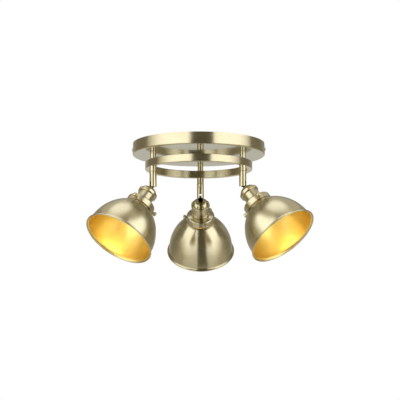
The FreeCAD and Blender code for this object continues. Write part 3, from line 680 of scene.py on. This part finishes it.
def upright(name, node, radius, bore, ease, segments=72):
    low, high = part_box(node)
    top = high.z / mm
    end = low.z / mm
    corners = [(bore, top, 0.1), (radius, top, ease), (radius, end, ease), (bore, end, 0.1)]
    place = Matrix.Translation(Vector((0, layout["postCircle"], 0)) * mm)
    return turnedMesh(name, corners, place, segments=segments)


def makePostsAndSleeves():
    for stem, size, name in (("post", post, "postsTurned"), ("swivel_sleeve", sleeve, "sleevesTurned")):
        one = upright("one", stem + "_rear", size["radius"], nipple["hole"], size["ease"])
        ring = ringOf(name, one, len(arms), antiqueBrassTurned)
        addPiece(ring, "base", [stem + "_" + arm for arm in arms], [antiqueBrassTurned])


def makeNipples():
    coreRadius = nipple["radius"] - nipple["coreInset"]
    core = upright("core", "nipple_rear", coreRadius, nipple["bore"], nipple["ease"], 48)
    toMiddle = Matrix.Translation(Vector((0, -layout["postCircle"], 0)) * mm)
    core.transform(toMiddle)
    low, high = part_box("nipple_rear")
    turns = ((high.z - low.z) / mm - 2 * nipple["plainEnd"]) / nipple["pitch"]
    threaded = runTree("threaded", core, woundThread, {
        "Radius": (nipple["radius"] - nipple["threadInset"]) * mm, "Pitch": nipple["pitch"] * mm,
        "Turns": turns, "Crest": nipple["crest"] * mm, "Start": low.z + nipple["plainEnd"] * mm,
        "Material": zincPlate})
    threaded.transform(toMiddle.inverted())
    ring = ringOf("nipplesThreaded", threaded, len(arms), zincPlate)
    addPiece(ring, "base", ["nipple_" + arm for arm in arms], [zincPlate])


def makeNippleFixings():
    flat = upright("one", "nipple_washers", washer["radius"], nipple["hole"], washer["ease"], 48)
    ring = ringOf("washersPressed", flat, len(arms), zincPlate)
    addPiece(ring, "base", ["nipple_washers"], [zincPlate])
    nuts = eased("nutsHex", "nipple_nuts", easing["nuts"])
    addPiece(nuts, "base", ["nipple_nuts"], [zincPlate])
    clips = eased("clipsSprung", "swivel_clips", easing["clips"])
    addPiece(clips, "base", ["swivel_clips"], [zincPlate])


makeHoop()
makePostsAndSleeves()
makeNipples()
makeNippleFixings()
print("hoop and posts dressed")

fork = {"top": 60.8, "radius": 6.6, "length": 28.7, "bore": 5.3, "bearing": 8.0, "bearingBore": 4.05,
        "ease": 0.5, "slot": 4.4, "slotAbovePin": 5.6, "pinToEnd": 3.5}
pin = {"radius": 1.5, "inset": 0.1, "ease": 0.4}


def makeFork(name, arm):
    end = fork["length"]
    corners = [
        (fork["bearingBore"], 0, 0.1), (fork["radius"], 0, 0.3), (fork["radius"], end, fork["ease"]),
        (fork["bore"], end, 0.2), (fork["bore"], fork["bearing"], 0),
        (fork["bearingBore"], fork["bearing"], 0),
    ]
    blank = turnedMesh("forkBlank", corners, segments=72)
    half = fork["slot"] / 2
    slotStart = end - fork["pinToEnd"] - fork["slotAbovePin"]
    slit = boxMesh((-half, -past, slotStart), (half, past, end + past))
    mesh = cutMesh("forkTube_" + name, blank, [slit])
    mesh.transform(armMatrix(arm, fork["top"]))
    addPiece(mesh, "fork_" + name, ["fork_tube_" + name], [antiqueBrassTurned])


def makeKnuckle(name, arm):
    reach = fork["radius"] - pin["inset"]
    rivet = [(0, -reach, 0), (pin["radius"], -reach, pin["ease"]), (pin["radius"], reach, pin["ease"]),
             (0, reach, 0)]
    place = armMatrix(arm, layout["pinDrop"]) @ Matrix.Rotation(math.pi / 2, 4, "Y")
    mesh = turnedMesh("knucklePin_" + name, rivet, place, segments=32)
    addPiece(mesh, "fork_" + name, ["knuckle_pin_" + name], [antiqueBrassTurned])
    tongue = eased("tongueMilled_" + name, "knuckle_tongue_" + name, easing["tongue"])
    addPiece(tongue, "head_" + name, ["knuckle_tongue_" + name], [antiqueBrassTurned])


# The pieces of a head are in mm from the knuckle pin, along the head and out from its axis.
cap = {"start": 9.4, "topRadius": 5.2, "domeEnd": 18.2, "domeRadius": 16.2, "domeCurve": 14.0, "step": 0.6,
       "flangeRadius": 18.2, "flangeWidth": 6.6, "edge": 1.2, "lowerEdge": 1.6, "seat": 5.2, "bore": 15.5,
       "studHole": 3.1, "crown": 3.0, "side": 2.4}


def makeCap(name, place):
    flangeStart = cap["domeEnd"] + cap["step"]
    flangeEnd = flangeStart + cap["flangeWidth"]
    seat = flangeEnd - cap["seat"]
    crown = cap["start"] + cap["crown"]
    outside = arcBetween((cap["topRadius"], cap["start"]), (cap["domeRadius"], cap["domeEnd"]),
                         cap["domeCurve"], -1, 14)
    inside = arcBetween((cap["domeRadius"] - cap["side"], seat), (cap["topRadius"], crown),
                        cap["domeCurve"], 1, 8)
    corners = [
        (cap["studHole"], cap["start"]), (cap["topRadius"], cap["start"], 0.3),
    ] + outside[1:] + [
        (cap["domeRadius"], flangeStart, 0.1), (cap["flangeRadius"], flangeStart, cap["edge"]),
        (cap["flangeRadius"], flangeEnd, cap["lowerEdge"]), (cap["bore"], flangeEnd, 0.1),
        (cap["bore"], seat, 0.1),
    ] + inside + [(cap["studHole"], crown)]
    mesh = turnedMesh("capTurned_" + name, corners, place)
    addPiece(mesh, "head_" + name, ["head_cap_" + name], [antiqueBrassTurned])


neck = {"radius": 15.4, "wall": 1.0, "start": 20.3, "end": 43.8, "collarRadius": 17.0, "collarWidth": 4.8,
        "collarEdge": 1.0}


def makeNeck(name, place):
    inner = neck["radius"] - neck["wall"]
    collarStart = neck["end"] - neck["collarWidth"]
    corners = [
        (inner, neck["start"]), (neck["radius"], neck["start"]), (neck["radius"], collarStart, 0.25),
        (neck["collarRadius"], collarStart, neck["collarEdge"]),
        (neck["collarRadius"], neck["end"], neck["collarEdge"]), (inner, neck["end"]),
    ]
    mesh = turnedMesh("neckSpun_" + name, corners, place)
    addPiece(mesh, "head_" + name, ["lamp_neck_" + name], [antiqueBrassSatin])


gallery = {"radius": 27.2, "top": 43.8, "height": 13.5, "wall": 1.2, "edge": 2.4, "hole": 13.5,
           "flat": 18.2, "flatEdge": 0.8, "slant": 8.0, "rim": 0.3, "segments": 128}


def makeGallery(name, place):
    top = gallery["top"]
    wall = gallery["wall"]
    radius = gallery["radius"]
    end = top + gallery["height"]
    inner = radius - wall
    under = top + wall
    slope = math.tan(math.radians(gallery["slant"]))
    innerFlat = gallery["flat"] - wall * math.tan(math.radians(gallery["slant"] / 2))
    corners = [
        (gallery["hole"], top), (gallery["flat"], top, gallery["flatEdge"]),
        (radius, top + (radius - gallery["flat"]) * slope, gallery["edge"]),
        (radius, end, gallery["rim"]), (inner, end, gallery["rim"]),
        (inner, under + (inner - innerFlat) * slope, gallery["edge"] - wall), (innerFlat, under),
        (gallery["hole"], under),
    ]
    mesh = turnedMesh("gallerySpun_" + name, corners, place, segments=gallery["segments"])
    addPiece(mesh, "head_" + name, ["shade_gallery_" + name], [antiqueBrassSatin])


thumb = {"count": 3, "axis": 51.9, "tip": 24.1, "seat": 27.3, "radius": 2.0, "collar": 2.4,
         "collarRadius": 2.8, "headRadius": 4.0, "headLength": 5.3, "shoulder": 1.1, "dome": 1.5,
         "crown": 0.3, "knurls": 20, "knurlDepth": 0.3, "knurlStart": 0.8, "knurlEnd": 0.1,
         "knurlRadius": 3.6, "segments": 80}


def makeThumbScrews(name, arm, place):
    head = thumb["seat"] + thumb["collar"]
    headEnd = head + thumb["headLength"]
    domeStart = headEnd - thumb["dome"]
    radius = thumb["headRadius"]
    curve = (radius ** 2 + thumb["dome"] ** 2) / (2 * thumb["dome"])
    dome = arcBetween((radius - thumb["crown"], domeStart), (0, headEnd), curve, 1, 6)
    corners = [
        (0, thumb["tip"], 0), (thumb["radius"], thumb["tip"], 0.4), (thumb["radius"], thumb["seat"], 0),
        (thumb["collarRadius"], thumb["seat"], 0.2), (thumb["collarRadius"], head, 0.3),
        (radius, head, thumb["shoulder"]), (radius, domeStart - thumb["crown"], 0.3),
    ] + dome
    ribs = {"from": head + thumb["knurlStart"], "to": domeStart - thumb["knurlEnd"],
            "radius": thumb["knurlRadius"], "depth": thumb["knurlDepth"], "count": thumb["knurls"]}
    axis = Matrix.Translation(Vector((0, 0, thumb["axis"])) * mm)
    one = turnedMesh("thumbOne", corners, axis @ Matrix.Rotation(math.pi / 2, 4, "Y"),
                     segments=thumb["segments"], ribs=ribs)
    mesh = ringOf("thumbScrews_" + name, one, thumb["count"], antiqueBrassTurned)
    mesh.transform(place @ Matrix.Rotation(math.radians(arm["screws"]), 4, "Z"))
    addPiece(mesh, "head_" + name, ["thumb_screws_" + name], [antiqueBrassTurned])


# the lip's angles are degrees round its centre, outside and inside, and the bead's say where its
# round wire starts and how far it goes round
shade = {"fitter": 24.0, "fitterStart": 49.7, "fitterEnd": 57.8, "shoulder": 0.8, "wall": 1.0,
         "bellStart": 60.4, "curve": 86.0, "mouth": 63.0, "mouthPlace": 129.0, "bellSteps": 40,
         "flare": 4.0, "lip": (166, 152, 138, 126), "innerLip": (127, 140, 153, 167),
         "bead": 1.3, "beadAcross": 65.4, "beadAlong": 133.42, "beadFrom": -120, "beadSweep": 314,
         "beadSteps": 16, "segments": 192}


def bellRadius(place, curve):
    return shade["mouth"] - shade["curve"] + math.sqrt(curve ** 2 - (shade["mouthPlace"] - place) ** 2)


# The bell's curve, then the rolled-out lip with its wire bead, and back up the painted inside.
def makeShade(name, place):
    wall = shade["wall"]
    curve = shade["curve"]
    start = shade["bellStart"]
    mouth = shade["mouth"]
    mouthPlace = shade["mouthPlace"]
    lipAcross = mouth + shade["flare"]
    steps = shade["beadSteps"]
    beadAngles = [shade["beadFrom"] + shade["beadSweep"] * k / steps for k in range(steps + 1)]
    bell = arcBetween((bellRadius(start, curve), start), (mouth, mouthPlace), curve, -1, shade["bellSteps"])
    lip = pointsRound(lipAcross, mouthPlace, shade["flare"], shade["lip"])
    bead = pointsRound(shade["beadAcross"], shade["beadAlong"], shade["bead"], beadAngles)
    innerLip = pointsRound(lipAcross, mouthPlace, shade["flare"] + wall, shade["innerLip"])
    innerTop = (bellRadius(start + wall, curve - wall), start + wall)
    innerBell = arcBetween((mouth - wall, mouthPlace), innerTop, curve - wall, 1, shade["bellSteps"])
    outside = [
        (shade["fitter"] - wall, shade["fitterStart"]), (shade["fitter"], shade["fitterStart"]),
        (shade["fitter"], shade["fitterEnd"], shade["shoulder"]),
    ] + bell + lip + bead
    inside = innerLip + innerBell + [(shade["fitter"] - wall, shade["fitterEnd"] + wall, shade["shoulder"])]
    mesh = turnedMesh("shadeSpun_" + name, outside + inside, place, segments=shade["segments"],
                      second=(len(outside) - 1, len(outside + inside)))
    addPiece(mesh, "head_" + name, ["shade_" + name], [antiqueBrassSatin, goldLacquer])


holder = {"radius": 13.4, "start": 20.2, "end": 53.2, "top": 3.0, "flangeRadius": 17.6, "flange": 2.0,
          "flangeTop": 45.0, "cavity": 7.65}


def makeLampholder(name, place):
    radius = holder["radius"]
    flangeRadius = holder["flangeRadius"]
    flangeTop = holder["flangeTop"]
    flangeEnd = flangeTop + holder["flange"]
    cavityTop = holder["start"] + holder["top"]
    corners = [
        (0, holder["start"], 0), (radius, holder["start"], 1.0), (radius, flangeTop, 0.2),
        (flangeRadius, flangeTop, 0.3), (flangeRadius, flangeEnd, 0.3), (radius, flangeEnd, 0.2),
        (radius, holder["end"], 0.6), (holder["cavity"], holder["end"], 0.3),
        (holder["cavity"], cavityTop, 0.3), (0, cavityTop, 0),
    ]
    mesh = turnedMesh("holderMoulded_" + name, corners, place)
    addPiece(mesh, "head_" + name, ["lampholder_" + name], [blackThermoset])


socket = {"inner": 7.05, "outer": 7.55, "start": 23.2, "length": 24.0}


def makeSocket(name, place):
    end = socket["start"] + socket["length"]
    corners = [(socket["inner"], socket["start"]), (socket["outer"], socket["start"]),
               (socket["outer"], end), (socket["inner"], end)]
    mesh = turnedMesh("socketRolled_" + name, corners, place, segments=64)
    addPiece(mesh, "head_" + name, ["socket_shell_" + name], [bareBrass])


bulbBase = {"radius": 6.9, "end": 53.3, "length": 25.0, "contactRadius": 2.4, "contactLength": 1.8,
            "pitch": 2.82, "threadDepth": 0.9, "crest": 0.8, "threadInset": 1.0, "threadShorter": 5.5,
            "skirtStart": 4.0, "skirtFull": 3.0, "skirtInset": 0.1}


def makeBulbBase(name, place):
    end = bulbBase["end"]
    start = end - bulbBase["length"]
    contactEnd = start - bulbBase["contactLength"]
    root = bulbBase["radius"] - bulbBase["threadDepth"]
    skirt = bulbBase["radius"] - bulbBase["skirtInset"]
    corners = [
        (0, contactEnd, 0), (bulbBase["contactRadius"], contactEnd, 0.4), (root, start, 0.4),
        (root, end - bulbBase["skirtStart"], 0.4), (skirt, end - bulbBase["skirtFull"], 0.4),
        (skirt, end, 0.3), (0, end, 0),
    ]
    core = turnedMesh("baseCore", corners, segments=64)
    turns = (bulbBase["length"] - bulbBase["threadShorter"]) / bulbBase["pitch"]
    mesh = runTree("bulbBase_" + name, core, woundThread, {
        "Radius": root * mm, "Pitch": bulbBase["pitch"] * mm, "Turns": turns,
        "Crest": bulbBase["crest"] * mm, "Start": (start + bulbBase["threadInset"]) * mm,
        "Material": rolledAluminium})
    mesh.transform(place)
    addPiece(mesh, "head_" + name, ["bulb_base_" + name], [rolledAluminium])


globe = {"radius": 20.0, "centre": 70.5, "neck": 9.0, "gap": 0.1, "shoulder": 12.0, "glass": 1.0}


def makeBulbGlobe(name, place):
    radius = globe["radius"]
    inner = radius - globe["glass"]
    shoulder = globe["shoulder"]
    innerShoulder = shoulder - globe["glass"]
    centre = globe["centre"]
    start = bulbBase["end"] + globe["gap"]
    rise = math.sqrt(radius ** 2 - shoulder ** 2)
    innerRise = math.sqrt(inner ** 2 - innerShoulder ** 2)
    outerHalf = arcBetween((shoulder, centre - rise), (radius, centre), radius, -1, 16)
    outerEnd = arcBetween((radius, centre), (0, centre + radius), radius, -1, 24)
    innerEnd = arcBetween((0, centre + inner), (inner, centre), inner, 1, 16)
    innerHalf = arcBetween((inner, centre), (innerShoulder, centre - innerRise), inner, 1, 10)
    corners = [(globe["neck"] - globe["glass"], start, 0), (globe["neck"], start, 0.4)]
    corners += outerHalf[:-1] + outerEnd + innerEnd[:-1] + innerHalf
    mesh = turnedMesh("bulbGlobe_" + name, corners, place)
    addPiece(mesh, "head_" + name, ["bulb_globe_" + name], [opalGlassLit])


for name, arm in arms.items():
    place = armMatrix(arm, layout["pinDrop"], arm["raise"])
    makeFork(name, arm)
    makeKnuckle(name, arm)
    makeCap(name, place)
    makeNeck(name, place)
    makeGallery(name, place)
    makeThumbScrews(name, arm, place)
    makeShade(name, place)
    makeLampholder(name, place)
    makeSocket(name, place)
    makeBulbBase(name, place)
    makeBulbGlobe(name, place)
    print("arm dressed:", name)

# metres; the floor's paper fades to the photo's plain white between the last two distances
studio = {"floor": "#E9E8E4", "ambient": 0.75, "floorDrop": 2.3, "floorSize": 24.0, "fadeFrom": 1.5,
          "fadeTo": 6.0}
# A tent of white cloth round the object, lit from outside: a bright panel on each side of the front
# opening that leans back as it rises, a dimmer band above it, a bright top, and a grey back.
# Its azimuths are degrees from a line that lies middle degrees to the right of the camera's.
# Brightness 1 shows a colour as it is written.
tent = {
    "distance": 3.3, "middle": 3.0, "openLeft": -17.0, "openRight": 22.0, "lowest": -38.0,
    "openTop": 46.0, "step": 3.0, "side": 1.9, "sideFull": 50.0, "sideGone": 104.0, "sideLean": 1.3,
    "sideFade": 1.7, "sideLow": 0.5, "sideTop": (36.0, 48.0), "top": 1.25, "topRise": (62.0, 74.0),
    "topTilt": 5.0, "back": 0.27, "backAbove": 0.4, "backBehind": 0.3, "behind": (135.0, 175.0),
    "behindTop": (5.0, 20.0), "backBelow": 0.22, "belowFull": 25.0, "dim": "#FFF9E4",
    "bright": "#EDF3FF", "tintFrom": 0.3, "tintTo": 1.6,
}
# a dark cloth that hangs behind the camera, and its end on the floor, in metres right and forward
flag = {"distance": 3.1, "middle": 2.5, "halfWidth": 20.0, "lowest": -44.0, "highest": 48.0,
        "columns": 16, "rows": 20, "cloth": "#6B6556", "roughness": 0.95, "sheen": 0.1,
        "onFloor": [(-0.35, 0.1), (0.85, 0.1), (1.1, 2.3), (-0.6, 2.3)], "lift": 0.01}
# Grey cards near the rear head: one on each side keeps the bright panels out of the shade's upper
# sides, and one over it keeps the bright top out of the gallery. Metres to the right, back and up.
cards = {"glow": 0.24, "tint": "#FFF6DE", "corners": [
    [(-0.5, 0.0, -0.06), (-0.5, 0.42, -0.06), (-0.5, 0.42, 0.3), (-0.5, 0.0, 0.3)],
    [(0.5, 0.0, -0.06), (0.5, 0.42, -0.06), (0.5, 0.42, 0.3), (0.5, 0.0, 0.3)],
    [(-0.3, 0.14, 0.04), (0.3, 0.14, 0.04), (0.3, 0.6, 0.12), (-0.3, 0.6, 0.12)],
]}


def stageMesh(name, points, faces, material):
    mesh = bpy.data.meshes.new(name)
    mesh.from_pydata(points, [], faces)
    mesh.materials.append(material)
    item = newObject(name, mesh)
    return item


# points and faces of a sheet bent round the object, on a grid of azimuths and elevations
def bentSheet(azimuths, elevations, distance, middle, keep=None):
    centre = Vector(cameraView["target"])
    points = []
    for elevation in elevations:
        for azimuth in azimuths:
            way = lookFrom(cameraView["azimuth"] + middle + azimuth, elevation)
            points.append(centre + way * distance)
    wide = len(azimuths)
    faces = []
    for row in range(len(elevations) - 1):
        for k in range(wide - 1):
            if keep is None or keep(azimuths[k], azimuths[k + 1], elevations[row + 1]):
                a = row * wide + k
                faces.append((a, a + 1, a + wide + 1, a + wide))
    return points, faces


def softStep(start, end, value):
    share = min(max((value - start) / (end - start), 0.0), 1.0)
    return share * share * (3 - 2 * share)


def tentGlow(azimuth, elevation):
    turn = abs(azimuth)
    lean = tent["sideLean"] * max(elevation, 0.0)
    side = (1 - softStep(tent["sideFull"] + lean, tent["sideGone"] + lean, turn)) ** tent["sideFade"]
    side *= 1 - tent["sideLow"] * softStep(0, -tent["lowest"], -elevation)
    side *= 1 - softStep(*tent["sideTop"], elevation)
    tilt = tent["topTilt"] * math.sin(math.radians(azimuth))
    topStart, topFull = tent["topRise"]
    above = softStep(topStart + tilt, topFull + tilt, elevation)
    back = tent["back"] + tent["backAbove"] * softStep(0, topStart, elevation)
    behind = softStep(*tent["behind"], turn) * (1 - softStep(*tent["behindTop"], elevation))
    back += tent["backBehind"] * behind
    back += tent["backBelow"] * softStep(0, tent["belowFull"], -elevation)
    return back + tent["side"] * side + tent["top"] * above


def makeFloor():
    material, tree, output = emptyMaterial("palePaper")
    paper = addNode(tree, "ShaderNodeBsdfDiffuse", None, {"Color": linear(studio["floor"])})
    white = addNode(tree, "ShaderNodeEmission", None, {"Color": (1, 1, 1, 1), "Strength": 1.0})
    paths = addNode(tree, "ShaderNodeLightPath")
    place = addNode(tree, "ShaderNodeTexCoord")
    outwards = addNode(tree, "ShaderNodeVectorMath", {"operation": "LENGTH"}, links={0: (place, "Object")})
    fade = addNode(tree, "ShaderNodeMapRange", {"interpolation_type": "SMOOTHSTEP"},
                   {"From Min": studio["fadeFrom"], "From Max": studio["fadeTo"]},
                   {"Value": (outwards, "Value")})
    seen = addNode(tree, "ShaderNodeMath", {"operation": "MAXIMUM"}, None,
                   {0: (paths, "Is Camera Ray"), 1: (paths, "Is Transmission Ray")})
    share = addNode(tree, "ShaderNodeMath", {"operation": "MULTIPLY"}, None, {0: (fade, 0), 1: (seen, 0)})
    mix = addNode(tree, "ShaderNodeMixShader", None, None, {0: (share, 0), 1: (paper, 0), 2: (white, 0)})
    tree.links.new(mix.outputs[0], output.inputs["Surface"])
    half = studio["floorSize"] / 2
    floor = stageMesh("floor", [(-half, -half, 0), (half, -half, 0), (half, half, 0), (-half, half, 0)],
                      [(0, 1, 2, 3)], material)
    floor.location.z = -studio["floorDrop"]


# the photo's white where it is seen, straight or in a reflection, and a weaker light elsewhere
def makeWorld():
    world = bpy.data.worlds.new("studio")
    bpy.context.scene.world = world
    world.use_nodes = True
    tree = world.node_tree
    tree.nodes.clear()
    output = tree.nodes.new("ShaderNodeOutputWorld")
    paths = addNode(tree, "ShaderNodeLightPath")
    glossy = addNode(tree, "ShaderNodeMath", {"operation": "MAXIMUM"}, None,
                     {0: (paths, "Is Camera Ray"), 1: (paths, "Is Glossy Ray")})
    clear = addNode(tree, "ShaderNodeMath", {"operation": "MAXIMUM"}, None,
                    {0: (glossy, 0), 1: (paths, "Is Transmission Ray")})
    ambient = addNode(tree, "ShaderNodeBackground", None,
                      {"Color": (1, 1, 1, 1), "Strength": studio["ambient"]})
    white = addNode(tree, "ShaderNodeBackground", None, {"Color": (1, 1, 1, 1), "Strength": 1.0})
    mix = addNode(tree, "ShaderNodeMixShader", None, None, {0: (clear, 0), 1: (ambient, 0), 2: (white, 0)})
    tree.links.new(mix.outputs[0], output.inputs["Surface"])


def makeTent():
    material, tree, output = emptyMaterial("litCloth")
    glow = addNode(tree, "ShaderNodeAttribute", {"attribute_name": "glow"})
    share = addNode(tree, "ShaderNodeMapRange", None,
                    {"From Min": tent["tintFrom"], "From Max": tent["tintTo"]}, {"Value": (glow, "Fac")})
    tint = addNode(tree, "ShaderNodeMix", {"data_type": "RGBA"},
                   {6: linear(tent["dim"]), 7: linear(tent["bright"])}, {0: (share, "Result")})
    light = addNode(tree, "ShaderNodeEmission", None, None, {"Strength": (glow, "Fac"), "Color": (tint, 2)})
    tree.links.new(light.outputs[0], output.inputs["Surface"])
    columns = [-180 + tent["step"] * k for k in range(int(360 / tent["step"]) + 1)]
    columns = sorted(columns + [tent["openLeft"], tent["openRight"]])
    high = 90 - tent["lowest"]
    count = math.ceil(high / tent["step"])
    rows = [tent["lowest"] + high * k / count for k in range(count + 1)]

    def outsideOpening(left, right, above):
        return left >= tent["openRight"] or right <= tent["openLeft"] or above > tent["openTop"]

    points, faces = bentSheet(columns, rows, tent["distance"], tent["middle"], outsideOpening)
    cloth = stageMesh("tentCloth", points, faces, material)
    layer = cloth.data.attributes.new("glow", "FLOAT", "POINT")
    layer.data.foreach_set("value", [tentGlow(column, row) for row in rows for column in columns])
    cloth.visible_camera = False


# the flag hangs behind the camera and its cloth runs on over the floor towards the object
def makeFlag():
    material, tree, shader = shadedMaterial("darkCloth")
    shader.inputs["Base Color"].default_value = linear(flag["cloth"])
    shader.inputs["Roughness"].default_value = flag["roughness"]
    shader.inputs["Specular IOR Level"].default_value = flag["sheen"]
    width = 2 * flag["halfWidth"]
    height = flag["highest"] - flag["lowest"]
    columns = [width * k / flag["columns"] - flag["halfWidth"] for k in range(flag["columns"] + 1)]
    rows = [flag["lowest"] + height * k / flag["rows"] for k in range(flag["rows"] + 1)]
    points, faces = bentSheet(columns, rows, flag["distance"], flag["middle"] + tent["middle"])
    hung = stageMesh("flagCloth", points, faces, material)
    ahead = lookFrom(cameraView["azimuth"], 0)
    across = Vector((-ahead.y, ahead.x, 0))
    drop = Vector((0, 0, flag["lift"] - studio["floorDrop"]))
    points = [drop + across * right + ahead * front for right, front in flag["onFloor"]]
    laid = stageMesh("flagOnFloor", points, [(0, 1, 2, 3)], material)
    laid.visible_shadow = False
    laid.visible_diffuse = False
    for cloth in (hung, laid):
        cloth.visible_camera = False


def makeCards():
    material, tree, output = emptyMaterial("greyCard")
    light = addNode(tree, "ShaderNodeEmission", None,
                    {"Color": linear(cards["tint"]), "Strength": cards["glow"]})
    tree.links.new(light.outputs[0], output.inputs["Surface"])
    behind = -lookFrom(cameraView["azimuth"], 0)
    across = Vector((behind.y, -behind.x, 0))
    for corners in cards["corners"]:
        points = [across * right + behind * back + Vector((0, 0, up)) for right, back, up in corners]
        card = stageMesh("greyCard", points, [(0, 1, 2, 3)], material)
        card.visible_camera = False
        card.visible_shadow = False
        card.visible_diffuse = False


makeFloor()
makeWorld()
makeTent()
makeFlag()
makeCards()
print("studio lit")
